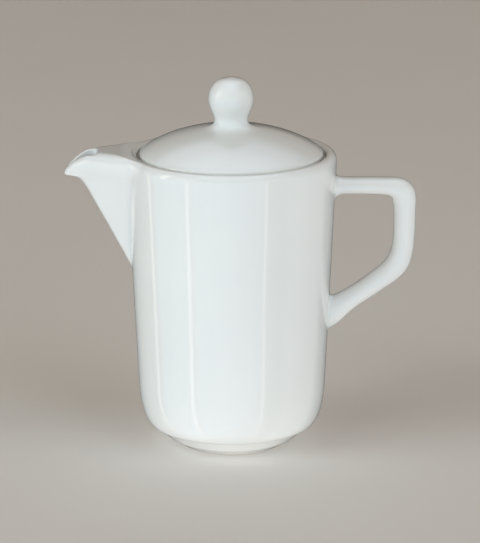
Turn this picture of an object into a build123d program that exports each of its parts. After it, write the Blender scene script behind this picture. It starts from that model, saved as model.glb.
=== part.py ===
from build123d import *
import os
import math

# Small lidded milk jug in glazed porcelain.
#
# Frame: +Z up, the origin is the centre of the foot ring on the surface that
# the jug stands on. +X points to the handle, -X to the spout.
# All lengths are in millimetres.

os.makedirs("parts", exist_ok=True)

# ------------------------------------------------------------------ pot
FOOT_H = 8.5            # height of the recessed foot ring
FOOT_R_LOW = 21.5       # outer radius of the ring where it stands
FOOT_R_LOW_IN = 18.4    # inner radius of the standing face
FOOT_R_TOP = 34.2       # outer radius of the ring under the pot
FOOT_R_TOP_IN = 27.0    # the ring is luted to a flat underside outside this radius
RECESS_R = 17.8         # hollow under the foot, at its roof
RECESS_Z = 4.7          # roof of the hollow under the foot

BASE_FLAT_R = 34.2      # flat underside of the pot ends here
CORNER_Z = 28.0         # bottom corner runs into the wall here
CORNER_DEEP = 5.15      # how far the bottom corner draws in from the taper
CORNER_POWER = 2.2      # fullness of the corner, 2 would be an ellipse
WALL_R_LOW = 40.3       # outer radius at the top of the bottom corner
WALL_R_TOP = 45.03      # outer radius at the top of the straight taper
WALL_Z_TOP = 125.0      # straight taper ends, the rim starts to roll over
WALL_T = 3.6            # wall thickness
FLOOR = [(36.4, 25.0), (35.2, 20.5), (32.8, 16.8), (29.2, 13.9), (24.8, 11.6),
         (20.0, 9.9)]   # inside of the bottom corner, (radius, z)
FLOOR_Z = 9.1           # inside floor
FLOOR_FLAT_R = 13.0     # the inside floor is flat up to here

RIM_Z = 128.55          # crest of the rim
RIM_R = 42.1            # outer radius of the crest
MOUTH_R = 40.4          # opening that the lid drops into
SEAT_Z = 125.6          # ledge that carries the lid
SEAT_R = 36.6           # inner radius of the ledge
SEAT_T = 3.0            # thickness of the ledge at its edge
SEAT_FADE_Z = 116.0     # ledge fades into the wall here

# ---------------------------------------------------------------- spout
# keel line in the middle plane, (z, x)
KEEL = [
    (66.0, -36.5), (71.0, -39.2), (76.0, -41.7), (80.0, -43.85), (86.0, -47.0),
    (92.0, -50.2), (98.0, -53.4), (104.0, -56.7), (109.0, -59.35), (112.5, -61.3),
    (115.0, -62.85), (116.5, -64.0), (117.7, -65.3), (118.5, -66.7), (119.0, -68.5),
    (119.5, -70.5), (120.3, -71.4), (121.5, -71.8), (123.5, -72.0), (134.0, -72.0),
]
# half width of the wedge at its root, (z, width)
SPOUT_W = [(66.0, 8.5), (80.0, 10.6), (90.0, 11.0), (100.0, 11.6), (110.0, 12.3),
           (120.0, 12.9), (128.0, 13.2)]
SPOUT_ROOT_X = -36.0    # where these half widths are taken, inside the pot
SPOUT_WALL = 2.9        # spout wall thickness
# top of the spout seen from the side, from the rim out to the lip, (x, z)
SPOUT_TOP = [(-36.0, 128.5), (-42.1, 128.6), (-44.5, 128.95), (-48.0, 129.25),
             (-53.0, 129.25), (-57.0, 129.0), (-60.6, 128.45), (-63.2, 127.6),
             (-65.3, 126.6), (-67.0, 125.5), (-69.2, 123.7), (-71.6, 121.5),
             (-74.5, 118.6)]
# roll of the spout's upper edges, (z, how far the sides draw in)
SPOUT_ROLL = [(126.2, 0.0), (127.4, 0.55), (128.2, 1.6), (128.8, 3.0),
              (129.15, 4.6), (129.4, 6.6)]
BRIDGE_UNDER_Z = 125.2  # underside of the cover over the channel
BRIDGE_X = -57.0        # the cover ends here and the open mouth starts
MOUTH_END_R = 15.0      # radius of the rounded inner end of the mouth
POUR_LOW_Z = 86.0       # lower end of the opening through the pot wall
POUR_TOP_Z = 121.0      # upper end of that opening

# --------------------------------------------------------------- handle
# centre line and section: (x, z, half thickness in its plane, half width across)
HANDLE = [
    (38.0, 113.85, 4.2, 5.7),
    (42.0, 113.85, 4.0, 5.6),
    (46.0, 113.85, 3.75, 5.5),
    (50.5, 113.85, 3.6, 5.4),
    (56.0, 113.85, 3.6, 5.4),
    (62.0, 113.75, 3.65, 5.4),
    (66.5, 113.5, 3.85, 5.4),
    (70.0, 112.8, 4.5, 5.4),
    (72.5, 111.2, 5.3, 5.4),
    (73.85, 108.4, 5.25, 5.4),
    (74.2, 104.5, 4.85, 5.4),
    (74.2, 99.5, 4.7, 5.4),
    (74.0, 92.5, 4.7, 5.4),
    (73.55, 87.5, 4.7, 5.4),
    (72.8, 83.7, 4.85, 5.4),
    (71.4, 80.1, 4.95, 5.4),
    (68.9, 76.8, 4.8, 5.4),
    (64.2, 72.95, 4.5, 5.4),
    (58.3, 68.65, 4.35, 5.4),
    (53.0, 65.1, 4.3, 5.5),
    (49.5, 62.75, 4.6, 5.7),
    (46.0, 60.4, 5.3, 6.0),
    (42.5, 58.3, 6.5, 6.5),
    (38.5, 56.8, 7.2, 7.0),
]

# ------------------------------------------------------------------ lid
LID_R = 39.2            # radius of the lid's edge
LID_EDGE_Z = 128.6      # top of the lid's edge
LID_RISE = 11.45        # dome height above the edge
LID_UNDER_Z = 125.75    # underside of the lid, 0.15 above the ledge
LID_T = 3.2             # thickness of the dome
FLANGE_R = 35.6         # outer radius of the locating flange
FLANGE_R_IN = 32.6      # inner radius of the locating flange
FLANGE_Z = 117.5        # lower edge of the flange
KNOB = [(4.5, 160.35), (7.35, 158.25), (9.1, 155.2), (9.65, 152.2), (9.4, 149.6),
        (8.55, 147.1), (7.6, 145.0), (7.15, 143.2), (7.3, 141.75), (8.2, 140.6),
        (10.2, 139.75), (11.8, 139.42)]  # outline below the crown, (radius, z)
KNOB_TOP_Z = 161.3


def interp(table, v):
    """Linear interpolation in a list of (key, value)."""
    if v <= table[0][0]:
        return table[0][1]
    for (a, fa), (b, fb) in zip(table, table[1:]):
        if v <= b:
            return fa + (fb - fa) * (v - a) / (b - a)
    return table[-1][1]


def turned(*edges):
    """Solid of revolution about Z from edges drawn as (radius, height)."""
    outline = Curve() + list(edges)
    face = make_face((Plane.XZ * outline).edges())
    return revolve(face, axis=Axis.Z, revolution_arc=360)


def wall_r(z):
    return WALL_R_LOW + (WALL_R_TOP - WALL_R_LOW) * (z - CORNER_Z) / (WALL_Z_TOP - CORNER_Z)


slope = (WALL_R_TOP - WALL_R_LOW) / (WALL_Z_TOP - CORNER_Z)
ca = math.cos(math.radians(45))

# ------------------------------------------------------- pot, outer form
def corner_r(z):
    """Outer radius of the bottom corner, a superellipse drawn in from the taper."""
    k = (CORNER_Z - z) / (CORNER_Z - FOOT_H)
    return wall_r(z) - CORNER_DEEP * (1 - (1 - k ** CORNER_POWER) ** (1 / CORNER_POWER))


corner = Spline(
    (BASE_FLAT_R, FOOT_H),
    *[(corner_r(z), z) for z in (8.75, 9.6, 11.2, 13.6, 17.0, 21.5)],
    (WALL_R_LOW, CORNER_Z),
    tangents=[(1, 0.1), (slope, 1)],
)
rim_out = Spline(
    (WALL_R_TOP, WALL_Z_TOP),
    (RIM_R + (WALL_R_TOP - RIM_R) * ca, WALL_Z_TOP + (RIM_Z - WALL_Z_TOP) * ca),
    (RIM_R, RIM_Z),
    tangents=[(slope, 1), (-1, 0)],
)
# the outer form, carried on upwards, is what spout and handle are trimmed to
pot_outer = turned(
    Line((0, FOOT_H), (BASE_FLAT_R, FOOT_H)),
    corner,
    Line((WALL_R_LOW, CORNER_Z), (WALL_R_TOP, WALL_Z_TOP)),
    rim_out,
    Line((RIM_R, RIM_Z), (RIM_R, RIM_Z + 12)),
    Line((RIM_R, RIM_Z + 12), (0, RIM_Z + 12)),
    Line((0, RIM_Z + 12), (0, FOOT_H)),
)

# ------------------------------------------------------------ pot, shell
in_low_z = 30.0
in_low_r = wall_r(in_low_z) - WALL_T
in_top_r = wall_r(SEAT_FADE_Z) - WALL_T
pot = turned(
    Line((0, RECESS_Z), (RECESS_R, RECESS_Z)),
    Line((RECESS_R, RECESS_Z), (FOOT_R_TOP_IN, FOOT_H)),
    Line((FOOT_R_TOP_IN, FOOT_H), (BASE_FLAT_R, FOOT_H)),
    corner,
    Line((WALL_R_LOW, CORNER_Z), (WALL_R_TOP, WALL_Z_TOP)),
    rim_out,
    Line((RIM_R, RIM_Z), (RIM_R - 0.6, RIM_Z)),
    Spline((RIM_R - 0.6, RIM_Z), (MOUTH_R + 0.32, RIM_Z - 0.37), (MOUTH_R, RIM_Z - 1.2),
           tangents=[(-1, 0), (0, -1)]),
    Line((MOUTH_R, RIM_Z - 1.2), (MOUTH_R, SEAT_Z)),
    Line((MOUTH_R, SEAT_Z), (SEAT_R, SEAT_Z)),
    Line((SEAT_R, SEAT_Z), (SEAT_R, SEAT_Z - SEAT_T)),
    Line((SEAT_R, SEAT_Z - SEAT_T), (in_top_r, SEAT_FADE_Z)),
    Line((in_top_r, SEAT_FADE_Z), (in_low_r, in_low_z)),
    Spline((in_low_r, in_low_z), *FLOOR, (FLOOR_FLAT_R, FLOOR_Z),
           tangents=[(-slope, -1), (-1, 0)]),
    Line((FLOOR_FLAT_R, FLOOR_Z), (0, FLOOR_Z)),
    Line((0, FLOOR_Z), (0, RECESS_Z)),
)

# --------------------------------------------------------------- foot ring
foot_ring = turned(
    Line((FOOT_R_LOW_IN, 0), (FOOT_R_LOW, 0)),
    ThreePointArc((FOOT_R_LOW, 0), (27.75, 3.75), (FOOT_R_TOP, FOOT_H)),
    Line((FOOT_R_TOP, FOOT_H), (FOOT_R_TOP_IN, FOOT_H)),
    Line((FOOT_R_TOP_IN, FOOT_H), (RECESS_R, RECESS_Z)),
    Line((RECESS_R, RECESS_Z), (FOOT_R_LOW_IN, 0)),
)


# ------------------------------------------------------------------- spout
def spout_section(z, inset, draw=0.0):
    """Level section of the wedge: two curved sides that meet in a rounded nose."""
    nose = interp(KEEL, z) + 1.1 * inset
    half = interp(SPOUT_W, z) - inset - draw
    power = 2.0 + min(1.0, max(0.0, (z - 98.0) / 30.0))
    side = []
    for s in (0.0, 0.3, 0.55, 0.75, 0.9, 0.975):
        side.append((SPOUT_ROOT_X + (nose - SPOUT_ROOT_X) * s, half * (1.0 - s ** power) ** (1 / 1.65)))
    pts = [(x, w, z) for x, w in side] + [(nose, 0.0, z)]
    pts += [(x, -w, z) for x, w in reversed(side)]
    back = Polyline(pts[-1], (-30.0, -half, z), (-30.0, half, z), pts[0])
    return make_face((Curve() + [Spline(*pts), back]).edges())


outer_levels = [(z, 0.0) for z in (74.0, 77.0, 80.0, 86.0, 92.0, 98.0, 104.0, 109.0, 112.5, 115.0,
                                   116.5, 117.7, 118.5, 119.0, 119.5, 120.3, 121.5, 123.5)] + SPOUT_ROLL
wedge = loft([spout_section(z, 0.0, draw) for z, draw in outer_levels], ruled=True)

inner_levels = [POUR_LOW_Z, 92.0, 98.0, 104.0, 109.0, 112.5, 115.0, 116.5, 117.7, 118.5, 119.0,
                119.5, 120.3, 121.5, 123.5, 131.0]
channel = loft([spout_section(z, SPOUT_WALL) for z in inner_levels], ruled=True)
# a cover closes the top of the channel up to the mouth, whose inner end is round
bridge = Pos((BRIDGE_X - 6.0 - 20.0) / 2.0, 0, BRIDGE_UNDER_Z + 10.0) * Box(
    abs(BRIDGE_X - 6.0 + 20.0), 60, 20)
bridge -= Pos(BRIDGE_X - MOUTH_END_R, 0, BRIDGE_UNDER_Z + 10.0) * Cylinder(MOUTH_END_R, 40)
channel_closed = channel - bridge
above = extrude(
    make_face((Plane.XZ * (Curve() + [
        Spline(*SPOUT_TOP),
        Polyline(SPOUT_TOP[-1], (-95.0, SPOUT_TOP[-1][1]), (-95.0, 145.0), (SPOUT_TOP[0][0], 145.0),
                 SPOUT_TOP[0])])).edges()),
    amount=30, both=True)

spout = wedge - channel_closed - above - pot_outer
pour_box = Pos(-40, 0, POUR_TOP_Z - 60) * Box(40, 60, 120)
pour_opening = channel & pour_box
jug_body = pot - pour_opening

# ------------------------------------------------------------------ handle
rings = []
for i, (x, z, thick, wide) in enumerate(HANDLE):
    before, after = HANDLE[max(i - 1, 0)], HANDLE[min(i + 1, len(HANDLE) - 1)]
    along = Vector(after[0] - before[0], 0, after[1] - before[1]).normalized()
    out = Vector(-along.Z, 0, along.X)
    rings.append(Plane(origin=(x, 0, z), x_dir=out, z_dir=along) * Ellipse(thick, wide))
handle = loft(rings) - pot_outer

# --------------------------------------------------------------------- lid
def dome_z(r, drop=0.0, radius=LID_R):
    return LID_EDGE_Z - drop + LID_RISE * max(0.0, 1 - (r / radius) ** 2) ** 0.84


dome_pts = [(r, dome_z(r)) for r in (0.0, 8.0, 15.0, 21.0, 26.0, 30.0, 33.5, 36.0, 37.9, 38.9)]
dome = Spline(*dome_pts, (LID_R, LID_EDGE_Z), tangents=[(1, 0), (0, -1)])
edge_low = Spline((LID_R, LID_EDGE_Z), (LID_R - 0.25, LID_UNDER_Z + 1.1), (LID_R - 1.4, LID_UNDER_Z),
                  tangents=[(0, -1), (-1, 0)])
under_pts = [(r, dome_z(r) - LID_T) for r in (29.0, 24.0, 18.0, 11.0, 0.0)]
under = Spline((FLANGE_R_IN, LID_UNDER_Z), (31.6, dome_z(31.6) - LID_T - 1.6), *under_pts,
               tangents=[(-0.2, 1), (-1, 0)])
lid_cap = turned(
    dome, edge_low,
    Line((LID_R - 1.4, LID_UNDER_Z), (FLANGE_R_IN, LID_UNDER_Z)),
    under,
    Line((0, dome_z(0) - LID_T), (0, dome_z(0))),
)
lid_flange = turned(
    Line((FLANGE_R_IN, LID_UNDER_Z), (FLANGE_R, LID_UNDER_Z)),
    Line((FLANGE_R, LID_UNDER_Z), (FLANGE_R, FLANGE_Z + 1.2)),
    Line((FLANGE_R, FLANGE_Z + 1.2), (FLANGE_R - 1.0, FLANGE_Z)),
    Line((FLANGE_R - 1.0, FLANGE_Z), (FLANGE_R_IN + 0.6, FLANGE_Z)),
    Line((FLANGE_R_IN + 0.6, FLANGE_Z), (FLANGE_R_IN, FLANGE_Z + 0.8)),
    Line((FLANGE_R_IN, FLANGE_Z + 0.8), (FLANGE_R_IN, LID_UNDER_Z)),
)
knob_full = turned(
    Spline((0, KNOB_TOP_Z), *KNOB, tangents=[(1, 0), (1, -0.25)]),
    Line(KNOB[-1], (KNOB[-1][0], 137.5)),
    Line((KNOB[-1][0], 137.5), (0, 137.5)),
    Line((0, 137.5), (0, KNOB_TOP_Z)),
)
dome_solid = turned(
    dome,
    Line((LID_R, LID_EDGE_Z), (LID_R, 120)),
    Line((LID_R, 120), (0, 120)),
    Line((0, 120), (0, dome_z(0))),
)
lid_knob = knob_full - dome_solid

# ------------------------------------------------------------------ export
nodes = {
    "jug_body": jug_body,
    "foot_ring": foot_ring,
    "spout": spout,
    "handle": handle,
    "lid_cap": lid_cap,
    "lid_flange": lid_flange,
    "lid_knob": lid_knob,
}
for name, shape in nodes.items():
    solids = shape.solids()
    print(name, len(solids), [round(s.volume, 1) for s in solids], shape.is_valid)
    body = solids[0] if len(solids) == 1 else Compound(children=list(solids))
    body.label = name
    export_step(body, f"parts/{name}.step")
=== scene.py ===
import math

import bpy
import numpy as np
from mathutils import Matrix, Vector


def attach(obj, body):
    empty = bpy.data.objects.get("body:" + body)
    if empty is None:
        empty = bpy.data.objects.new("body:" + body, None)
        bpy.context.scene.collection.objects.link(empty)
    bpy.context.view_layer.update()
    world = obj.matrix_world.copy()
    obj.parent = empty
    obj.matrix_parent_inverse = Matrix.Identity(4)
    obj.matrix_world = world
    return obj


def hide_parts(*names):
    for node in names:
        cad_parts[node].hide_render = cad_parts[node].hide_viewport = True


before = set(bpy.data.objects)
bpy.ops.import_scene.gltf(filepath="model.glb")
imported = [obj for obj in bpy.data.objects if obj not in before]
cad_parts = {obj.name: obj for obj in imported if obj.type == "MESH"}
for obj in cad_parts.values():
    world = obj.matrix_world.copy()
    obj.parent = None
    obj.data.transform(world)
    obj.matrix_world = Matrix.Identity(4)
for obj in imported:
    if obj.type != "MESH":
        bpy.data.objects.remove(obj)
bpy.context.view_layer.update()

# Small lidded milk jug in white glazed porcelain. The jug (pot, foot ring,
# spout and handle) is one fired piece and the lid is another, so each is made
# here as one closed mesh. Shapes are described as smooth distance fields in
# millimetres, in the frame of the CAD model, and turned into quads whose
# vertices lie exactly on the surface.


# ------------------------------------------------------------ small numerics
def smooth_min(a, b, k):
    h = np.maximum(k - np.abs(a - b), 0.0) / k
    return np.minimum(a, b) - h * h * h * k / 6.0


def smooth_max(a, b, k):
    h = np.maximum(k - np.abs(a - b), 0.0) / k
    return np.maximum(a, b) + h * h * h * k / 6.0


def ramp(a, b, v):
    t = np.clip((v - a) / (b - a), 0.0, 1.0)
    return t * t * t * (t * (6.0 * t - 15.0) + 10.0)


class Curve:
    """Natural cubic spline through (key, value...) rows, straight beyond its ends."""

    def __init__(self, rows):
        rows = np.array(rows, float)
        self.x, self.y = rows[:, 0], rows[:, 1:]
        n, h = len(self.x), np.diff(self.x)
        a, b = np.zeros((n, n)), np.zeros(self.y.shape)
        a[0, 0] = a[-1, -1] = 1.0
        for i in range(1, n - 1):
            a[i, i - 1], a[i, i], a[i, i + 1] = h[i - 1], 2 * (h[i - 1] + h[i]), h[i]
            b[i] = 6 * ((self.y[i + 1] - self.y[i]) / h[i] - (self.y[i] - self.y[i - 1]) / h[i - 1])
        self.m = np.linalg.solve(a, b)

    def at(self, v, order=0):
        v = np.asarray(v, float)
        x, y, m = self.x, self.y, self.m
        w = np.clip(v, x[0], x[-1])
        i = np.clip(np.searchsorted(x, w, "right") - 1, 0, len(x) - 2)
        h = (x[i + 1] - x[i])[..., None]
        a = (x[i + 1] - w)[..., None] / h
        b = 1.0 - a
        if order == 2:
            return a * m[i] + b * m[i + 1]
        slope = (y[i + 1] - y[i]) / h + ((3 * b * b - 1) * m[i + 1] - (3 * a * a - 1) * m[i]) * h / 6
        if order == 1:
            return slope
        value = a * y[i] + b * y[i + 1] + ((a ** 3 - a) * m[i] + (b ** 3 - b) * m[i + 1]) * h * h / 6
        return value + slope * (v - w)[..., None]

    def __call__(self, v):
        return self.at(v)[..., 0]


def nearest_start(points, samples, chunk=4000):
    """Index of the sample nearest to each point."""
    found = np.empty(len(points), int)
    square = (samples ** 2).sum(1)
    for i in range(0, len(points), chunk):
        p = points[i:i + chunk]
        found[i:i + chunk] = (square[None] - 2 * p @ samples.T).argmin(1)
    return found


class Outline:
    """Smooth outline in the (radius, height) plane, from axis to axis, with the solid on its left."""

    def __init__(self, corners, step=0.34):
        line = self.rounded(corners)
        gaps = np.hypot(*np.diff(line, axis=0).T)
        along = np.concatenate([[0.0], np.cumsum(gaps)])
        n = int(round(along[-1] / step)) + 1
        s = np.linspace(0, along[-1], n)
        c = np.stack([np.interp(s, along, line[:, 0]), np.interp(s, along, line[:, 1])], 1)
        mirror = np.array([-1.0, 1.0])
        self.c = np.concatenate([c[3:0:-1] * mirror, c, c[-2:-5:-1] * mirror])
        self.n = n
        self.t = np.arange(0, n - 1 + 1e-9, 0.5)
        self.samples = self.place(self.t)[0]

    @staticmethod
    def rounded(corners):
        """Polyline with arcs of the given radius at its corners; rows are (r, z, radius)."""
        pts = [np.array(c[:2], float) for c in corners]
        out = [pts[0]]
        for i in range(1, len(pts) - 1):
            radius = corners[i][2]
            a, b = pts[i - 1] - pts[i], pts[i + 1] - pts[i]
            la, lb = np.hypot(*a), np.hypot(*b)
            a, b = a / la, b / lb
            turn = math.pi - math.acos(float(np.clip(a @ b, -1, 1)))
            if radius <= 0 or turn < 1e-3:
                out.append(pts[i])
                continue
            reach = radius * math.tan(turn / 2)
            limit = 0.49 * min(la, lb)
            if reach > limit:
                radius, reach = radius * limit / reach, limit
            mid = (a + b) / np.hypot(*(a + b))
            centre = pts[i] + mid * radius / math.cos(turn / 2)
            start, end = pts[i] + a * reach, pts[i] + b * reach
            a0 = math.atan2(*(start - centre)[::-1])
            a1 = math.atan2(*(end - centre)[::-1])
            d = (a1 - a0 + math.pi) % (2 * math.pi) - math.pi
            k = max(3, int(abs(d) * radius / 0.12) + 1)
            for f in np.linspace(0, 1, k):
                out.append(centre + radius * np.array([math.cos(a0 + d * f), math.sin(a0 + d * f)]))
        out.append(pts[-1])
        return np.array(out)

    def place(self, t):
        t = np.clip(t, 0, self.n - 1)
        i = np.minimum(t.astype(int), self.n - 2)
        u = (t - i)[:, None]
        p0, p1, p2, p3 = (self.c[i + 2 + k] for k in range(4))
        pos = ((1 - u) ** 3 * p0 + (3 * u ** 3 - 6 * u * u + 4) * p1
               + (-3 * u ** 3 + 3 * u * u + 3 * u + 1) * p2 + u ** 3 * p3) / 6
        d1 = (-(1 - u) ** 2 * p0 + (3 * u * u - 4 * u) * p1 + (-3 * u * u + 2 * u + 1) * p2 + u * u * p3) / 2
        d2 = (1 - u) * p0 + (3 * u - 2) * p1 + (1 - 3 * u) * p2 + u * p3
        return pos, d1, d2

    def start(self, r, z):
        return self.t[nearest_start(np.stack([r, z], 1), self.samples)]

    def distance(self, r, z, t, steps=3):
        """Signed distance, below 0 inside, from a first guess of the nearest place."""
        p = np.stack([r, z], 1)
        for _ in range(steps):
            c, d1, d2 = self.place(t)
            e = c - p
            g = (e * d1).sum(1)
            gg = (d1 * d1).sum(1) + (e * d2).sum(1)
            t = np.clip(t - np.clip(g / np.where(gg > 1e-6, gg, 1e9), -0.8, 0.8), 0, self.n - 1)
        c, d1, _ = self.place(t)
        e = p - c
        side = d1[:, 0] * e[:, 1] - d1[:, 1] * e[:, 0]
        return np.where(side > 0, -1.0, 1.0) * np.hypot(e[:, 0], e[:, 1]), t


# ------------------------------------------------------------------ the pot
WALL_SLOPE = 4.7 / 96.4
RIM_Z, RIM_A, RIM_B = 128.55, 3.05, 3.6


def wall_r(z):
    return 40.3 + WALL_SLOPE * (z - 28.0)


def pot_corners():
    rows = [(0.0, 4.75, 0), (17.6, 4.55, 1.4), (18.35, 0.0, 0.7), (21.75, 0.0, 0.6), (27.6, 3.45, 9.0),
            (33.3, 8.45, 0.6), (33.6, 8.52, 0)]
    for a in np.linspace(9, 90, 40):
        z = 28.0 - 19.5 * math.cos(math.radians(a)) ** 0.9
        s = (1 - min(1.0, (28.0 - z) / 19.5) ** 2.2) ** (1 / 2.2)
        rows.append((wall_r(z) - 6.0 * (1 - s), z, 0))
    rows.append((wall_r(76.0), 76.0, 0))
    for a in np.linspace(0, 90, 24):
        z = RIM_Z - RIM_B + RIM_B * math.sin(math.radians(a))
        rows.append((wall_r(z) - RIM_A * (1 - math.cos(math.radians(a))), z, 0))
    for a in np.linspace(10, 90, 10):
        rows.append((41.5 - 1.1 * math.sin(math.radians(a)), 127.4 + 1.15 * math.cos(math.radians(a)), 0))
    rows += [(40.4, 125.6, 0.35), (36.6, 125.6, 0.7), (36.6, 122.5, 0.8), (41.0, 116.0, 9.0), (36.8, 30.0, 0)]
    inner = Curve([(0, 36.8, 30.0), (1, 36.4, 25.0), (2, 35.2, 20.5), (3, 32.8, 16.8), (4, 29.2, 13.9),
                   (5, 24.8, 11.6), (6, 20.0, 9.9), (7, 14.0, 9.15), (8, 7.0, 9.05)])
    rows += [(float(p[0]), float(p[1]), 0) for p in inner.at(np.linspace(0.1, 8, 60))]
    rows.append((0.0, 9.05, 0))
    return rows


POT = Outline(pot_corners())

# ---------------------------------------------------------------- the spout
NOSE = Curve([(66, -36.5), (71, -39.2), (76, -41.7), (80, -43.85), (86, -47.0), (92, -50.2), (98, -53.4),
              (104, -56.7), (109, -59.35), (112.5, -61.3), (115, -62.85), (116.5, -64.0), (117.6, -65.3),
              (118.25, -66.7), (118.65, -68.6), (119.0, -70.6), (119.6, -71.5), (121.0, -71.9), (123.5, -72.0),
              (134, -72.3)])
NOSE_SIDE = Curve([(66, -36.5), (71, -39.2), (76, -41.7), (80, -43.85), (86, -47.0), (92, -50.2), (98, -53.4),
                   (104, -56.7), (109, -59.35), (112.5, -61.3), (115, -62.9), (117.5, -64.8), (120.0, -67.2),
                   (122.0, -69.2), (124.0, -70.7), (126.0, -71.6), (128.0, -72.0), (134, -72.3)])
NOSE_R = Curve([(66, 2.9), (80, 3.1), (97, 3.5), (110, 4.1), (119, 4.8), (127, 5.7), (134, 6.2)])
FACE_TURN = math.radians(27.9)      # each side face leaves the middle plane by this angle
SPOUT_TOP = Curve([(-80, 112.6), (-74, 119.0), (-71.6, 121.5), (-70.5, 122.6), (-69.2, 123.7), (-67.0, 125.5),
                   (-65.3, 126.8), (-63.2, 128.0), (-60.6, 129.05), (-57.0, 129.65), (-53.0, 129.8),
                   (-48.0, 129.75), (-44.0, 129.4), (-41.5, 129.0), (-30.0, 128.6)])
ROOF = Curve([(-76, 125.6), (-60, 125.6), (-54, 125.3), (-50, 124.2), (-46, 122.0), (-43, 120.9), (-34, 120.4)])
MOUTH_END = -57.0


def wedge(x, y, z):
    """Level distance to the wedge: two flat side faces that meet in a round nose."""
    beak = np.exp(-(y / 3.4) ** 2)
    nose = NOSE(z) * beak + NOSE_SIDE(z) * (1 - beak)
    u, v, radius = x - nose - NOSE_R(z), np.abs(y), NOSE_R(z)
    c, s = math.cos(FACE_TURN), math.sin(FACE_TURN)
    return np.where(u * c + v * s > 0, v * c - u * s, np.hypot(u, v)) - radius


def wedge_distance(x, y, z):
    h = 0.15
    g = wedge(x, y, z)
    gx = (wedge(x + h, y, z) - wedge(x - h, y, z)) / (2 * h)
    gy = (wedge(x, y + h, z) - wedge(x, y - h, z)) / (2 * h)
    gz = (wedge(x, y, z + h) - wedge(x, y, z - h)) / (2 * h)
    return g / np.sqrt(gx * gx + gy * gy + gz * gz + 2e-4)


def rolled(side, top, a, b, m):
    """Meeting of a side face and a top face over a roll, a wide and b high; m below 2 bends it most at its ends."""
    u, v = np.maximum(side / a + 1, 0), np.maximum(top / b + 1, 0)
    k = (u ** m + v ** m + 1e-12) ** (1 / m)
    corner = (k - 1) / np.sqrt(((u / k) ** (m - 1) / a) ** 2 + ((v / k) ** (m - 1) / b) ** 2 + 1e-6)
    return np.where((u > 0) & (v > 0), corner, np.maximum(side, top))


def spout_parts(x, y, z):
    """(outer form of pot and wedge together, channel through the wedge), both below 0 inside."""
    r = np.hypot(x, y)
    side = wedge_distance(x, y, z)
    plan = smooth_min(r - wall_r(z), side, 1.5 + 1.0 * ramp(78.0, 112.0, z) + 2.0 * ramp(119.0, 127.0, z))
    slope = SPOUT_TOP.at(x, 1)[..., 0]
    lip = ramp(-63.0, -70.5, x)
    groove = 0.7 * np.exp(-(y / 2.3) ** 2) * lip
    top = (z + groove - SPOUT_TOP(x)) / np.sqrt(1 + slope * slope)
    out = ramp(43.0, 52.0, r)
    near = ramp(-57.0, -64.0, x)
    a = RIM_A + (6.6 - RIM_A) * out - 2.9 * near - 1.6 * lip
    b = RIM_B + (3.1 - RIM_B) * out - 0.4 * near - 0.9 * lip
    outer = rolled(plan, top, a, b, 2.0 - 0.45 * out * (1 - near))
    rim = 3.1 - 0.1 * ramp(-62.0, -70.0, x)
    skin = 2.9 + (rim - 2.9) * ramp(-52.0, -57.5, x)
    hole = smooth_max(x - MOUTH_END + 0.4, side + rim, 8.5)
    under = z - ROOF(x)
    room = smooth_min(under, hole, 1.6)
    channel = smooth_max(side + skin, room, 2.0)
    channel = np.maximum(channel, x + 33.0)
    return outer, channel


# --------------------------------------------------------------- the handle
# (x, z, half thickness in the plane, half width across)
HANDLE_ROWS = [
    (38.0, 113.5, 4.7, 5.7), (42.0, 113.6, 4.4, 5.6), (46.0, 113.8, 3.85, 5.5), (50.5, 113.85, 3.6, 5.4),
    (56.0, 113.85, 3.6, 5.4), (62.0, 113.75, 3.65, 5.4), (66.5, 113.5, 3.85, 5.4), (70.0, 112.8, 4.5, 5.4),
    (72.5, 111.2, 5.3, 5.4), (73.8, 108.4, 5.25, 5.4), (74.15, 104.5, 4.85, 5.4), (74.15, 99.5, 4.7, 5.4),
    (74.0, 92.5, 4.65, 5.4), (73.55, 87.5, 4.65, 5.4), (72.8, 83.7, 4.8, 5.4), (71.4, 80.1, 4.95, 5.4),
    (68.9, 76.8, 4.8, 5.4), (64.2, 72.95, 4.5, 5.4), (58.3, 68.65, 4.35, 5.4), (53.0, 65.1, 4.3, 5.5),
    (49.5, 62.75, 4.6, 5.7), (46.0, 60.35, 5.35, 6.0), (42.5, 58.4, 6.4, 6.5), (38.5, 56.9, 7.3, 7.0),
]
_p = np.array(HANDLE_ROWS)
_t = np.concatenate([[0.0], np.cumsum(np.hypot(np.diff(_p[:, 0]), np.diff(_p[:, 1])))])
SPINE = Curve(np.column_stack([_t, _p[:, :2]]))
SECTION = Curve(np.column_stack([_t, _p[:, 2:]]))
SPINE_LONG = _t[-1]


def spine_start(x, z):
    t = np.linspace(0, SPINE_LONG, 160)
    return t[nearest_start(np.stack([x, z], 1), SPINE.at(t))]


def handle_distance(x, y, z, t, steps=3):
    p = np.stack([x, z], 1)
    for _ in range(steps):
        c, d1, d2 = SPINE.at(t), SPINE.at(t, 1), SPINE.at(t, 2)
        e = c - p
        g = (e * d1).sum(1)
        gg = (d1 * d1).sum(1) + (e * d2).sum(1)
        t = np.clip(t - np.clip(g / np.where(gg > 0.05, gg, 1e9), -2.0, 2.0), 0, SPINE_LONG)
    c, d1 = SPINE.at(t), SPINE.at(t, 1)
    d1 = d1 / np.hypot(d1[:, 0], d1[:, 1])[:, None]
    e = p - c
    n = -d1[:, 1] * e[:, 0] + d1[:, 0] * e[:, 1]
    ab = SECTION.at(t)
    a, b = ab[:, 0], ab[:, 1]
    m = 2.25
    u, v = np.abs(n) / a + 1e-9, np.abs(y) / b + 1e-9
    k = (u ** m + v ** m) ** (1 / m)
    du = (u / k) ** (m - 1) / a
    dv = (v / k) ** (m - 1) / b
    return (k - 1) / np.sqrt(du * du + dv * dv + 1e-6), t


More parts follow.
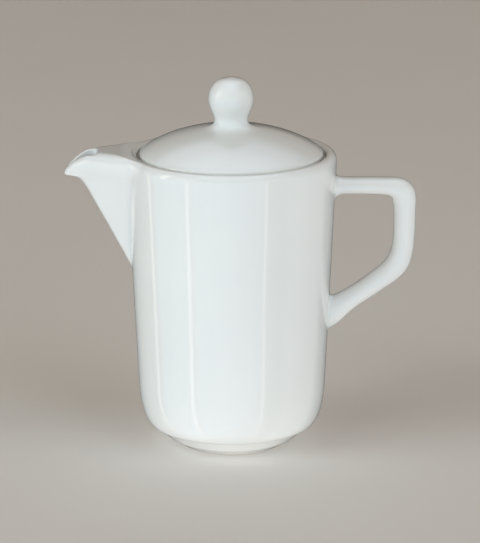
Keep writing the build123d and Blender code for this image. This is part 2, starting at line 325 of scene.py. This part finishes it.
# ----------------------------------------------------------- the whole jug
def outer_r(z):
    return wall_r(np.clip(z, 28.0, 124.4))


def jug_field(x, y, z, tp, th, at_spout, at_handle):
    """Signed distance to the jug at the points; tp and th are first guesses along the outline and the spine."""
    r = np.hypot(x, y)
    d, tp = POT.distance(r, z, tp)
    th = th.copy()
    if at_handle.any():
        i = at_handle
        h, th[i] = handle_distance(x[i], y[i], z[i], th[i])
        h = np.maximum(h, outer_r(z[i]) - 1.0 - r[i])
        k = 4.4 - 2.8 * ramp(70.0, 60.0, z[i]) - 1.6 * ramp(113.0, 117.0, z[i])
        d[i] = smooth_min(d[i], h, k)
    if at_spout.any():
        i = at_spout
        outer, channel = spout_parts(x[i], y[i], z[i])
        start = wall_r(z[i]) - 2.4 - 1.3 * ramp(118.0, 125.0, z[i])
        w = ramp(0.0, 1.3, r[i] - start) * ramp(24.0, 20.0, np.abs(y[i])) * ramp(-31.0, -34.0, x[i])
        d[i] = smooth_max(d[i] * (1 - w) + outer * w, -channel, 1.9 - 0.5 * ramp(-57.0, -61.0, x[i]))
    return d, tp, th


def jug_regions(x, y, z):
    at_spout = (x < -31) & (z > 66) & (np.abs(y) < 24)
    at_handle = (x > 34) & (z > 38) & (z < 127) & (np.abs(y) < 26)
    return at_spout, at_handle


def spaced(parts):
    """Node positions from (start, end, spacing) parts."""
    out = []
    for a, b, step in parts:
        n = max(1, int(round((b - a) / step)))
        out += list(np.linspace(a, b, n, endpoint=False))
    return np.array(out + [parts[-1][1]])


def angles(count_of=16):
    """Directions round the axis, closer together at the handle (0) and the spout (pi)."""
    fine = 1.05
    a = np.linspace(-180, 180, 7201)
    handle = 0.56 + 0.5 * ramp(7.0, 10.0, np.abs(a)) + 1.35 * ramp(22.0, 34.0, np.abs(a))
    b = 180 - np.abs(a)
    spout = 0.75 + 1.65 * ramp(20.0, 32.0, b)
    step = np.minimum(handle, spout) * fine
    mass = np.concatenate([[0.0], np.cumsum((1 / step[1:] + 1 / step[:-1]) / 2 * np.diff(a))])
    n = int(round(mass[-1] / count_of)) * count_of
    return np.radians(np.interp(np.arange(n) / n * mass[-1], mass, a))


def jug_mesh():
    f = 1.06
    th = angles()
    rr = spaced([(12.0, 16.8, 1.6 * f), (16.8, 22.6, 0.42 * f), (22.6, 33.0, 1.5 * f), (33.0, 35.2, 0.5 * f),
                 (35.2, 46.6, 0.6 * f), (46.6, 82.0, 0.88 * f)])
    zz = spaced([(-0.9, 1.5, 0.37 * f), (1.5, 3.6, 0.7 * f), (3.6, 5.4, 0.45 * f), (5.4, 7.4, 0.6 * f),
                 (7.4, 9.8, 0.45 * f), (9.8, 30.0, 1.35 * f), (30.0, 46.0, 2.1 * f), (46.0, 114.0, 1.02 * f),
                 (114.0, 130.8, 0.45 * f)])
    nt, nr, nz = len(th), len(rr), len(zz)
    r2, z2 = np.meshgrid(rr, zz, indexing="ij")
    flat_d, _ = POT.distance(r2.ravel(), z2.ravel(), POT.start(r2.ravel(), z2.ravel()))
    field = np.broadcast_to(flat_d.reshape(nr, nz)[None], (nt, nr, nz)).copy()
    x = rr[None, :, None] * np.cos(th)[:, None, None] + 0 * zz[None, None, :]
    y = rr[None, :, None] * np.sin(th)[:, None, None] + 0 * zz[None, None, :]
    z = zz[None, None, :] + 0 * x
    sp, ha = jug_regions(x, y, z)
    near = sp | ha
    xs, ys, zs = x[near], y[near], z[near]
    sp, ha = sp[near], ha[near]
    tp = np.zeros(len(xs))
    rs = np.hypot(xs, ys)
    tp = POT.start(rs, zs)
    t0 = np.zeros(len(xs))
    t0[ha] = spine_start(xs[ha], zs[ha])
    field[near] = jug_field(xs, ys, zs, tp, t0, sp, ha)[0]

    # dual quads: one vertex in each cell that the surface passes through
    inside = field < 0
    cells = (nt, nr - 1, nz - 1)
    total = nt * (nr - 1) * (nz - 1)
    sums = np.zeros((4, total))

    def add(i, j, k, fi, fr, fz):
        ok = (j >= 0) & (j < nr - 1) & (k >= 0) & (k < nz - 1)
        flat = ((i[ok] % nt) * (nr - 1) + j[ok]) * (nz - 1) + k[ok]
        for row, v in zip(sums, (fi[ok], fr[ok], fz[ok], np.ones(int(ok.sum())))):
            row += np.bincount(flat, v, total)

    def cell(i, j, k):
        return ((i % nt) * (nr - 1) + j) * (nz - 1) + k

    quads = []

    def take(i, j, k, corners, ok, flip):
        q = np.stack([cell(i + a, j + b, k + c) for a, b, c in corners], 1)[ok]
        flip = flip[ok]
        q[flip] = q[flip][:, ::-1]
        quads.append(q)

    nxt = np.roll(inside, -1, 0)
    i, j, k = np.nonzero(inside != nxt)
    a, b = field[i, j, k], field[(i + 1) % nt, j, k]
    t = a / (a - b)
    for dj in (-1, 0):
        for dk in (-1, 0):
            add(i, j + dj, k + dk, t, rr[j], zz[k])
    take(i, j, k, [(0, -1, -1), (0, 0, -1), (0, 0, 0), (0, -1, 0)],
         (j > 0) & (j < nr - 1) & (k > 0) & (k < nz - 1), inside[i, j, k])
    i, j, k = np.nonzero(inside[:, :-1] != inside[:, 1:])
    a, b = field[i, j, k], field[i, j + 1, k]
    t = a / (a - b)
    for di in (-1, 0):
        for dk in (-1, 0):
            add(i + di, j, k + dk, np.full(len(i), -float(di)), rr[j] + t * (rr[j + 1] - rr[j]), zz[k])
    take(i, j, k, [(-1, 0, -1), (0, 0, -1), (0, 0, 0), (-1, 0, 0)],
         (k > 0) & (k < nz - 1), ~inside[i, j, k])
    i, j, k = np.nonzero(inside[:, :, :-1] != inside[:, :, 1:])
    a, b = field[i, j, k], field[i, j, k + 1]
    t = a / (a - b)
    for di in (-1, 0):
        for dj in (-1, 0):
            add(i + di, j + dj, k, np.full(len(i), -float(di)), rr[j], zz[k] + t * (zz[k + 1] - zz[k]))
    take(i, j, k, [(-1, -1, 0), (0, -1, 0), (0, 0, 0), (-1, 0, 0)],
         (j > 0) & (j < nr - 1), inside[i, j, k])

    used = np.nonzero(sums[3])[0]
    index = np.full(total, -1)
    index[used] = np.arange(len(used))
    ci, cj, ck = np.unravel_index(used, cells)
    mean = sums[:3, used] / sums[3, used]
    gap = np.diff(np.concatenate([th, [th[0] + 2 * math.pi]]))
    angle = th[ci] + mean[0] * gap[ci]
    pts = np.stack([mean[1] * np.cos(angle), mean[1] * np.sin(angle), mean[2]], 1)
    quads = index[np.concatenate(quads)]
    faces = quads.tolist()

    # the two flat places on the axis, in rings with fewer and fewer vertices
    first = np.nonzero(cj == 0)[0]
    levels = sorted(set(ck[first].tolist()))
    extra = []
    base = len(pts)
    for level, up in zip(levels, (False, True)):
        ring = first[ck[first] == level]
        ring = ring[np.argsort(ci[ring])].tolist()
        ring_angle = angle[ring]
        height = float(pts[ring, 2].mean())
        radius = float(np.hypot(pts[ring, 0], pts[ring, 1]).mean())
        while len(ring) % 2 == 0 and len(ring) > 12:
            radius *= 0.72 if len(ring) > 60 else 0.6
            ring_angle = ring_angle[::2]
            inner = list(range(base + len(extra), base + len(extra) + len(ring_angle)))
            extra += [(radius * math.cos(a), radius * math.sin(a), height) for a in ring_angle]
            n = len(inner)
            for m in range(n):
                q0, q1 = inner[m], inner[(m + 1) % n]
                o0, o1, o2 = ring[2 * m], ring[2 * m + 1], ring[(2 * m + 2) % len(ring)]
                tri = [(q0, o0, o1), (q0, o1, q1), (q1, o1, o2)]
                faces += tri if up else [t[::-1] for t in tri]
            ring = inner
        centre = base + len(extra)
        extra.append((0.0, 0.0, height))
        for m in range(len(ring)):
            tri = (centre, ring[m], ring[(m + 1) % len(ring)])
            faces.append(tri if up else tri[::-1])
    if extra:
        pts = np.concatenate([pts, np.array(extra)])

    # bring every vertex exactly onto the surface, then read its normal and its roundness
    x, y, z = pts.T.copy()
    at_s, at_h = jug_regions(x, y, z)
    tp = POT.start(np.hypot(x, y), z)
    t0 = np.zeros(len(x))
    t0[at_h] = spine_start(x[at_h], z[at_h])

    def gradient(x, y, z, h):
        d, tp1, t1 = jug_field(x, y, z, tp, t0, at_s, at_h)
        out, six = [], 0.0
        for axis in np.eye(3) * h:
            p = jug_field(x + axis[0], y + axis[1], z + axis[2], tp1, t1, at_s, at_h)[0]
            q = jug_field(x - axis[0], y - axis[1], z - axis[2], tp1, t1, at_s, at_h)[0]
            out.append((p - q) / (2 * h))
            six = six + p + q
        return d, np.stack(out, 1), (six - 6 * d) / (h * h), tp1, t1

    for _ in range(4):
        d, g, _, tp, t0 = gradient(x, y, z, 0.02)
        move = np.clip(d / np.maximum((g * g).sum(1), 0.2), -0.6, 0.6)[:, None] * g
        x, y, z = x - move[:, 0], y - move[:, 1], z - move[:, 2]
    left, g, _, tp, t0 = gradient(x, y, z, 0.02)
    form = gradient(x, y, z, 0.5)[2]
    normals = g / np.linalg.norm(g, axis=1)[:, None]
    worst = int(np.abs(left).argmax())
    print("jug mesh", len(x), "vertices", len(faces), "faces, furthest off", round(float(left[worst]), 4),
          "mm at", np.round([x[worst], y[worst], z[worst]], 1))
    return np.stack([x, y, z], 1), normals, form, faces


# ------------------------------------------------------------------ the lid
def dome_z(r):
    return 128.6 + 11.45 * max(0.0, 1 - (r / 39.2) ** 2) ** 0.84


def lid_corners():
    knob = Curve([(0, 0.0, 161.3), (1, 4.5, 160.35), (2, 7.35, 158.25), (3, 9.1, 155.2), (4, 9.65, 152.2),
                  (5, 9.4, 149.6), (6, 8.55, 147.1), (7, 7.6, 145.0), (8, 7.15, 143.2), (9, 7.3, 141.75),
                  (10, 8.2, 140.6), (11, 10.2, 139.65), (12, 12.6, dome_z(12.6) + 0.02)])
    rows = [(max(0.0, float(p[0])), float(p[1]), 0) for p in knob.at(np.linspace(0, 12, 150))]
    rows[0] = (0.0, rows[0][1], 0)
    rows += [(r, dome_z(r), 0) for r in np.linspace(13.4, 37.0, 40)]
    rows += [(r, dome_z(r), 0) for r in (37.6, 38.1, 38.5, 38.8, 39.0)]
    rows += [(39.2, 128.2, 0), (39.2, 126.9, 0.5), (38.0, 125.75, 0.5), (35.6, 125.75, 0.5),
             (35.55, 117.5, 0.9), (32.6, 117.5, 0.9), (32.7, 125.2, 2.6)]
    rows += [(r, dome_z(r) - 3.2, 0) for r in np.linspace(29.0, 1.0, 30)]
    rows.append((0.0, dome_z(0) - 3.2, 0))
    return rows


def lid_mesh():
    outline = Outline([(r, z, k) for r, z, k in lid_corners()][::-1])
    # taken from the crown down and round, so the solid is on the right of this walk
    dense = np.linspace(outline.n - 1, 0, (outline.n - 1) * 4 + 1)
    pos, d1, _ = outline.place(dense)
    heading = np.unwrap(np.arctan2(-d1[:, 1], -d1[:, 0]))
    step = np.hypot(*np.diff(pos, axis=0).T)
    turn = np.abs(np.diff(heading))
    most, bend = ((1.25, math.radians(6.5)))
    cost = np.concatenate([[0.0], np.cumsum(np.maximum(step / most, turn / bend))])
    n = int(cost[-1]) + 2
    t = np.interp(np.linspace(0, cost[-1], n), cost, dense)
    pos, d1, _ = outline.place(t)
    tangent = -d1 / np.hypot(d1[:, 0], d1[:, 1])[:, None]
    normal = np.stack([-tangent[:, 1], tangent[:, 0]], 1)
    head = np.unwrap(np.arctan2(tangent[:, 1], tangent[:, 0]))
    run = np.concatenate([[0.0], np.cumsum(np.hypot(*np.diff(pos, axis=0).T))])
    bend_at = -np.gradient(head, run)
    most_round = 176
    counts = []
    for r in pos[:, 0]:
        c = most_round
        while c > 11 and 2 * math.pi * max(r, 0.0) / c < 0.34 and c % 2 == 0:
            c //= 2
        counts.append(c)
    for order in (range(1, n), range(n - 2, -1, -1)):
        for i in order:
            j = i - 1 if order.step > 0 else i + 1
            counts[i] = max(counts[i], counts[j] // 2)
    verts, normals, form, rings, faces = [], [], [], [], []
    for i, (p, m, c) in enumerate(zip(pos, normal, counts)):
        start = len(verts)
        if i in (0, n - 1):
            verts.append((0.0, 0.0, float(p[1])))
            normals.append((0.0, 0.0, 1.0 if i == 0 else -1.0))
            form.append(2 * bend_at[i])
            rings.append([start])
            continue
        for a in np.arange(c) * 2 * math.pi / c:
            verts.append((p[0] * math.cos(a), p[0] * math.sin(a), p[1]))
            normals.append((m[0] * math.cos(a), m[0] * math.sin(a), m[1]))
            form.append(bend_at[i] + m[0] / max(p[0], 0.5))
        rings.append(list(range(start, start + c)))
    for a, b in zip(rings, rings[1:]):
        na, nb = len(a), len(b)
        if na == 1:
            faces += [(a[0], b[m], b[(m + 1) % nb]) for m in range(nb)]
        elif nb == 1:
            faces += [(a[m], b[0], a[(m + 1) % na]) for m in range(na)]
        elif na == nb:
            faces += [(a[m], b[m], b[(m + 1) % nb], a[(m + 1) % na]) for m in range(na)]
        elif nb == 2 * na:
            for m in range(na):
                p, q = a[m], a[(m + 1) % na]
                u, v, w = b[2 * m], b[2 * m + 1], b[(2 * m + 2) % nb]
                faces += [(p, u, v), (p, v, q), (q, v, w)]
        else:
            for m in range(nb):
                p, q = b[m], b[(m + 1) % nb]
                u, v, w = a[2 * m], a[2 * m + 1], a[(2 * m + 2) % na]
                faces += [(u, p, v), (p, q, v), (v, q, w)]
    print("lid mesh", len(verts), "vertices", len(faces), "faces")
    return np.array(verts), np.array(normals), np.array(form), faces


def make_object(name, verts, normals, form, faces):
    mesh = bpy.data.meshes.new(name)
    mesh.from_pydata((verts * 0.001).tolist(), [], [list(f) for f in faces])
    mesh.validate(clean_customdata=False)
    attribute = mesh.attributes.new("form", "FLOAT", "POINT")
    attribute.data.foreach_set("value", np.clip(form, -1.0, 1.0).astype(np.float32))
    mesh.shade_smooth()
    mesh.normals_split_custom_set_from_vertices(normals.tolist())
    mesh.update()
    obj = bpy.data.objects.new(name, mesh)
    bpy.context.scene.collection.objects.link(obj)
    return obj


# ---------------------------------------------------------------- materials
def new_material(name):
    mat = bpy.data.materials.new(name)
    mat.use_nodes = True
    tree = mat.node_tree
    tree.nodes.clear()
    out = tree.nodes.new("ShaderNodeOutputMaterial")
    shader = tree.nodes.new("ShaderNodeBsdfPrincipled")
    tree.links.new(shader.outputs[0], out.inputs[0])
    return mat, tree, shader


class Nodes:
    def __init__(self, tree):
        self.tree = tree

    def put(self, socket, value):
        if isinstance(value, bpy.types.NodeSocket):
            self.tree.links.new(value, socket)
        elif value is not None:
            socket.default_value = value

    def math(self, op, a, b=None, c=None, clamp=False):
        n = self.tree.nodes.new("ShaderNodeMath")
        n.operation, n.use_clamp = op, clamp
        for s, v in zip(n.inputs, (a, b, c)):
            self.put(s, v)
        return n.outputs[0]

    def vector(self, op, a, b=None):
        n = self.tree.nodes.new("ShaderNodeVectorMath")
        n.operation = op
        for s, v in zip(n.inputs, (a, b)):
            self.put(s, v)
        return n.outputs["Value"] if op in ("LENGTH", "DOT_PRODUCT") else n.outputs["Vector"]

    def noise(self, where, scale, detail=2.0, rough=0.5):
        n = self.tree.nodes.new("ShaderNodeTexNoise")
        self.put(n.inputs["Vector"], where)
        n.inputs["Scale"].default_value = scale
        n.inputs["Detail"].default_value = detail
        n.inputs["Roughness"].default_value = rough
        return n.outputs["Fac"] if "Fac" in n.outputs else n.outputs[0]

    def remap(self, v, a, b, c, d, kind="SMOOTHSTEP"):
        n = self.tree.nodes.new("ShaderNodeMapRange")
        n.interpolation_type = kind
        self.put(n.inputs["Value"], v)
        for key, x in (("From Min", a), ("From Max", b), ("To Min", c), ("To Max", d)):
            n.inputs[key].default_value = x
        return n.outputs["Result"]

    def mix(self, f, a, b):
        n = self.tree.nodes.new("ShaderNodeMix")
        n.data_type = "RGBA"
        self.put(n.inputs[0], f)
        self.put(n.inputs[6], a)
        self.put(n.inputs[7], b)
        return n.outputs[2]


def porcelain(name, colour, bare_rule):
    """White glaze over a white body. bare_rule gives 1 where the clay is left bare."""
    mat, tree, shader = new_material(name)
    n = Nodes(tree)
    where = tree.nodes.new("ShaderNodeTexCoord").outputs["Object"]
    xyz = tree.nodes.new("ShaderNodeSeparateXYZ")
    n.put(xyz.inputs[0], where)
    x, y, z = xyz.outputs
    radius = n.math("SQRT", n.math("ADD", n.math("MULTIPLY", x, x), n.math("MULTIPLY", y, y)))
    wobble = n.math("SUBTRACT", n.noise(where, 160.0, 3.0), 0.5)
    bare = bare_rule(n, radius, z, wobble)

    form = tree.nodes.new("ShaderNodeAttribute")
    form.attribute_name = "form"
    form = form.outputs["Fac"]
    pooled_glaze_and_crease_shade = n.remap(form, -0.02, -0.45, 0.0, 1.0)
    thin_glaze_edge_and_highlight = n.remap(form, 0.16, 0.75, 0.0, 1.0)

    broad = n.noise(where, 22.0, 2.0)
    tone = n.mix(n.remap(broad, 0.3, 0.7, 0.0, 1.0), tuple(c * 0.985 for c in colour) + (1,),
                 (colour[0] * 1.012, colour[1] * 1.008, colour[2], 1))
    # painted crease shade: concave places turn darker and slightly cyan, partly real glaze pooling in the hollows
    # and partly painted shade in the creases
    tone = n.mix(n.math("MULTIPLY", pooled_glaze_and_crease_shade, 0.55), tone, (colour[0] * 0.93, colour[1] * 0.965, colour[2] * 0.97, 1))
    # painted edge highlight: convex edges turn lighter and warmer, partly real thin glaze over the body and partly
    # a painted highlight; the same mask also raises the roughness there
    tone = n.mix(n.math("MULTIPLY", thin_glaze_edge_and_highlight, 0.4), tone, (colour[0] * 1.03, colour[1] * 1.01, colour[2] * 0.985, 1))

    # a few small iron specks under the glaze
    cell = tree.nodes.new("ShaderNodeTexVoronoi")
    n.put(cell.inputs["Vector"], where)
    cell.inputs["Scale"].default_value = 62.0
    pick = tree.nodes.new("ShaderNodeSeparateColor")
    n.put(pick.inputs[0], cell.outputs["Color"])
    chosen = n.math("GREATER_THAN", pick.outputs[0], 0.86)
    size = n.math("MULTIPLY_ADD", pick.outputs[1], 0.012, 0.010)
    dot = n.math("SUBTRACT", 1.0, n.math("DIVIDE", cell.outputs["Distance"], size), clamp=True)
    speck = n.math("MULTIPLY", n.math("MULTIPLY", dot, chosen), 0.75)
    tone = n.mix(speck, tone, (0.30, 0.27, 0.23, 1))
    clay = n.mix(n.noise(where, 900.0, 3.0), (0.70, 0.67, 0.62, 1), (0.80, 0.78, 0.74, 1))
    n.put(shader.inputs["Base Color"], n.mix(bare, tone, clay))

    fine = n.noise(where, 260.0, 3.0)
    gloss = n.remap(fine, 0.3, 0.7, 0.045, 0.085, "LINEAR")
    gloss = n.math("ADD", gloss, n.math("MULTIPLY", thin_glaze_edge_and_highlight, 0.02))
    n.put(shader.inputs["Roughness"], n.math("ADD", gloss, n.math("MULTIPLY", bare, 0.55)))
    shader.inputs["IOR"].default_value = 1.5

    tall = n.vector("MULTIPLY", where, (1.0, 1.0, 0.35))
    slow = n.noise(tall, 55.0, 1.5)
    peel = n.noise(where, 420.0, 2.0)
    grain = n.noise(where, 3600.0, 2.0)
    height = n.math("ADD", n.math("MULTIPLY", slow, 0.00012), n.math("MULTIPLY", peel, 0.0000022))
    height = n.math("ADD", height, n.math("MULTIPLY", n.math("MULTIPLY", grain, bare), 0.00003))
    bump = tree.nodes.new("ShaderNodeBump")
    bump.inputs["Strength"].default_value = 1.0
    bump.inputs["Distance"].default_value = 1.0
    n.put(bump.inputs["Height"], height)
    n.put(shader.inputs["Normal"], bump.outputs[0])
    return mat


def band(n, v, low, high, soft):
    """1 between low and high, fading over soft."""
    a = n.remap(v, low - soft, low + soft, 0.0, 1.0)
    b = n.remap(v, high - soft, high + soft, 1.0, 0.0)
    return n.math("MULTIPLY", a, b)


def jug_bare(n, radius, z, wobble):
    foot = n.remap(n.math("MULTIPLY_ADD", wobble, 0.0008, z), 0.00045, 0.0007, 1.0, 0.0)
    seat_z = band(n, z, 0.12535, 0.1258, 0.0001)
    seat_r = band(n, n.math("MULTIPLY_ADD", wobble, 0.0008, radius), 0.0367, 0.0401, 0.00012)
    return n.math("MAXIMUM", foot, n.math("MULTIPLY", seat_z, seat_r))


def lid_bare(n, radius, z, wobble):
    low = n.remap(n.math("MULTIPLY_ADD", wobble, 0.0012, z), 0.1262, 0.1265, 1.0, 0.0)
    out = n.remap(n.math("MULTIPLY_ADD", wobble, 0.0006, radius), 0.0331, 0.0334, 0.0, 1.0)
    return n.math("MULTIPLY", low, out)


GLAZE = porcelain("glaze", (0.80, 0.815, 0.815), jug_bare)
LID_GLAZE = porcelain("lid_glaze", (0.79, 0.805, 0.80), lid_bare)

jug = make_object("jug", *jug_mesh())
jug.data.materials.append(GLAZE)
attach(jug, "jug")
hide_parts("jug_body", "foot_ring", "spout", "handle")

lid = make_object("lid", *lid_mesh())
lid.data.materials.append(LID_GLAZE)
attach(lid, "lid")
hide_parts("lid_cap", "lid_flange", "lid_knob")

# -------------------------------------------------------------------- stage
floor_mesh = bpy.data.meshes.new("floor")
ring = [(9.0 * math.cos(a), 9.0 * math.sin(a), 0.0) for a in np.linspace(0, 2 * math.pi, 96, endpoint=False)]
floor_mesh.from_pydata([(0.0, 0.0, 0.0)] + ring, [], [(0, i + 1, (i + 1) % 96 + 1) for i in range(96)])
floor = bpy.data.objects.new("floor", floor_mesh)
bpy.context.scene.collection.objects.link(floor)
floor_mat, tree, shader = new_material("floor")
n = Nodes(tree)
where = tree.nodes.new("ShaderNodeTexCoord").outputs["Object"]
n.put(shader.inputs["Base Color"], n.mix(n.noise(where, 6.0, 3.0), (0.75, 0.72, 0.69, 1), (0.79, 0.76, 0.73, 1)))
shader.inputs["Roughness"].default_value = 0.75
shader.inputs["Specular IOR Level"].default_value = 0.15
floor.data.materials.append(floor_mat)
floor.visible_glossy = False


# ------------------------------------------------------------------- lights
def softbox(name, azimuth, elevation, distance, wide, high, power, colour=(1, 1, 1), aim=(0, 0, 0.07), glossy=True):
    data = bpy.data.lights.new(name, "AREA")
    data.shape, data.size, data.size_y = "RECTANGLE", wide, high
    data.energy, data.color = power, colour
    obj = bpy.data.objects.new(name, data)
    bpy.context.scene.collection.objects.link(obj)
    a, e = math.radians(azimuth), math.radians(elevation)
    aim = Vector(aim)
    obj.location = aim + distance * Vector((math.sin(a) * math.cos(e), -math.cos(a) * math.cos(e), math.sin(e)))
    obj.rotation_mode = "QUATERNION"
    obj.rotation_quaternion = (obj.location - aim).to_track_quat("Z", "Y")
    obj.visible_glossy = glossy
    return obj


softbox("left", -70, 12, 3.0, 1.76, 1.24, 31.8, (0.86, 1.0, 1.08), glossy=False)
softbox("right", 35, 12, 3.0, 1.76, 1.24, 15.0, (0.76, 1.0, 1.13), glossy=False)
softbox("far_right", 74, 12, 3.0, 1.76, 1.24, 8.1, (1.0, 0.85, 0.75), glossy=False)
softbox("left_high", -45, 38, 3.0, 1.76, 1.24, 14.6, (0.88, 1.0, 0.96), glossy=False)
softbox("right_high", 45, 38, 3.0, 1.76, 1.24, 10.9, (0.80, 1.0, 1.10), glossy=False)
softbox("top", 40, 62, 3.0, 1.76, 1.24, 5.0, (1.0, 0.96, 0.96), glossy=False)
softbox("back", 180, -6, 3.0, 1.76, 1.0, 40.0, (1.0, 0.99, 0.97), glossy=False)
softbox("back_left", -140, -6, 3.0, 1.4, 1.0, 7.0, (1.0, 1.0, 1.0), glossy=False)
# light thrown up by the pale floor in front, which lights the foot and the bottom corner
softbox("below", -6, -75, 3.0, 1.76, 1.24, 15.0, (1.05, 1.0, 0.93), (0, 0, 0.02), glossy=False)
softbox("low_front", -6, -50, 0.25, 0.12, 0.08, 0.13, (1.07, 1.0, 0.93), (0, -0.01, 0.005), glossy=False)
floor.visible_shadow = False

# The room: soft and pale in front, dim and warm behind and overhead. Reflections
# see tall soft panels in it, which run below the horizon as well.
world = bpy.data.worlds.new("studio")
bpy.context.scene.world = world
world.use_nodes = True
tree = world.node_tree
tree.nodes.clear()
n = Nodes(tree)
way = tree.nodes.new("ShaderNodeTexCoord").outputs["Generated"]
xyz = tree.nodes.new("ShaderNodeSeparateXYZ")
n.put(xyz.inputs[0], way)
wx, wy, wz = xyz.outputs
front = n.remap(wy, 0.35, -0.45, 0.0, 1.0)
low = n.remap(wz, 0.7, 0.05, 0.0, 1.0)
glow = n.math("MULTIPLY", front, low)
room = n.mix(glow, (0.20, 0.14, 0.09, 1), (0.80, 0.82, 0.83, 1))
# direction round the axis in degrees: 0 towards the camera's side, + to the handle
azimuth = n.math("MULTIPLY", n.math("ARCTAN2", wx, n.math("MULTIPLY", wy, -1.0)), 180 / math.pi)


def between(v, low, high, soft):
    return n.math("MULTIPLY", n.remap(v, low - soft, low + soft, 0.0, 1.0),
                  n.remap(v, high - soft, high + soft, 1.0, 0.0))


def panel(low, high, soft, bottom, top, soft_z):
    return n.math("MULTIPLY", between(azimuth, low, high, soft), between(wz, bottom, top, soft_z))


def strip(middle, half, soft, bottom, top, soft_z):
    """Thin straight upright strip light."""
    off = n.math("ABSOLUTE", n.math("SUBTRACT", azimuth, middle))
    return n.math("MULTIPLY", n.remap(off, half - soft, half + soft, 1.0, 0.0), between(wz, bottom, top, soft_z))


# what the glaze mirrors: soft panels and straight strip lights round the object. They
# run below the horizon too, because the floor is left out of reflections.
shine = n.mix(1.0, (0.03, 0.025, 0.02, 1), (0.03, 0.025, 0.02, 1))
for mask, colour in (
        (panel(-46, 38, 7.0, -0.9, 0.12, 0.04), (0.42, 0.60, 1.0)),
        (panel(-96, -50, 5.0, -0.9, 0.12, 0.04), (0.42, 0.66, 1.0)),
        (strip(-103.0, 2.0, 1.0, -0.9, 0.15, 0.04), (1.6, 1.6, 1.5)),
        (strip(-50.0, 2.0, 1.0, -0.9, 0.15, 0.04), (2.0, 2.0, 1.8)),
        (strip(39.0, 1.6, 0.9, -0.9, 0.15, 0.04), (1.8, 1.8, 1.7)),
        (strip(-79.0, 4.0, 1.5, -0.20, 0.74, 0.02), (4.0, 4.0, 3.6)),
        (panel(-76, 72, 2.0, 0.70, 0.78, 0.015), (1.4, 1.45, 1.5)),
        (panel(-76, 72, 2.0, -0.19, 0.75, 0.02), (0.12, 0.14, 0.20)),
        (panel(66, 125, 6.0, -0.9, 0.15, 0.05), (0.50, 0.50, 0.50)),
        (panel(-108, -86, 4.0, -0.30, 0.15, 0.05), (0.20, 0.20, 0.14)),
        (panel(-92, -32, 5.0, 0.15, 0.55, 0.04), (1.3, 1.1, 0.8)),
        (panel(28, 92, 5.0, 0.15, 0.55, 0.04), (0.95, 0.9, 0.6)),
        (panel(-181, -92, 6.0, 0.15, 0.60, 0.06), (0.12, 0.05, 0.03)),
        (panel(92, 181, 6.0, 0.15, 0.60, 0.06), (0.30, 0.24, 0.22)),
        (panel(-181, -122, 8.0, 0.62, 0.90, 0.12), (1.4, 1.45, 1.6)),
        (panel(122, 181, 8.0, 0.62, 0.90, 0.12), (1.2, 1.3, 1.5)),
        (between(wz, 0.86, 1.2, 0.12), (2.1, 2.25, 2.7))):
    lit = tree.nodes.new("ShaderNodeMix")
    lit.data_type, lit.blend_type = "RGBA", "ADD"
    n.put(lit.inputs[0], mask)
    n.put(lit.inputs[6], shine)
    n.put(lit.inputs[7], colour + (1,))
    shine = lit.outputs[2]
rays = tree.nodes.new("ShaderNodeLightPath").outputs
sky = n.mix(rays["Is Glossy Ray"], room, shine)
sky = n.mix(rays["Is Camera Ray"], sky, (0.60, 0.58, 0.555, 1))
back = tree.nodes.new("ShaderNodeBackground")
n.put(back.inputs["Color"], sky)
back.inputs["Strength"].default_value = 1.0
tree.links.new(back.outputs[0], tree.nodes.new("ShaderNodeOutputWorld").inputs[0])

# ------------------------------------------------------------------- camera
TILT, AWAY, AIM_Z, FOCAL_PX, AXIS_PX, ROLL = 0.267219, 1.5525, 0.07554, 3610.0, 231.636, 0.00297
cam_data = bpy.data.cameras.new("camera")
cam_data.sensor_width = 36.0
cam_data.lens = FOCAL_PX * 36.0 / 543.0
cam_data.shift_x = (240.0 - AXIS_PX) / 543.0
cam_data.shift_y = 0.5 / 543.0
cam_data.clip_start, cam_data.clip_end = 0.05, 60.0
cam = bpy.data.objects.new("camera", cam_data)
bpy.context.scene.collection.objects.link(cam)
right, up = Vector((1, 0, 0)), Vector((0, math.sin(TILT), math.cos(TILT)))
back_way = Vector((0, -math.cos(TILT), math.sin(TILT)))
right_r = right * math.cos(ROLL) - up * math.sin(ROLL)
up_r = up * math.cos(ROLL) + right * math.sin(ROLL)
turned = Matrix((right_r, up_r, back_way)).transposed().to_4x4()
turned.translation = Vector((0, 0, AIM_Z)) + back_way * AWAY
cam.matrix_world = turned
bpy.context.scene.camera = cam

view = bpy.context.scene.view_settings
view.view_transform = "Standard"
view.look = "None"
view.exposure, view.gamma = 0.0, 1.0
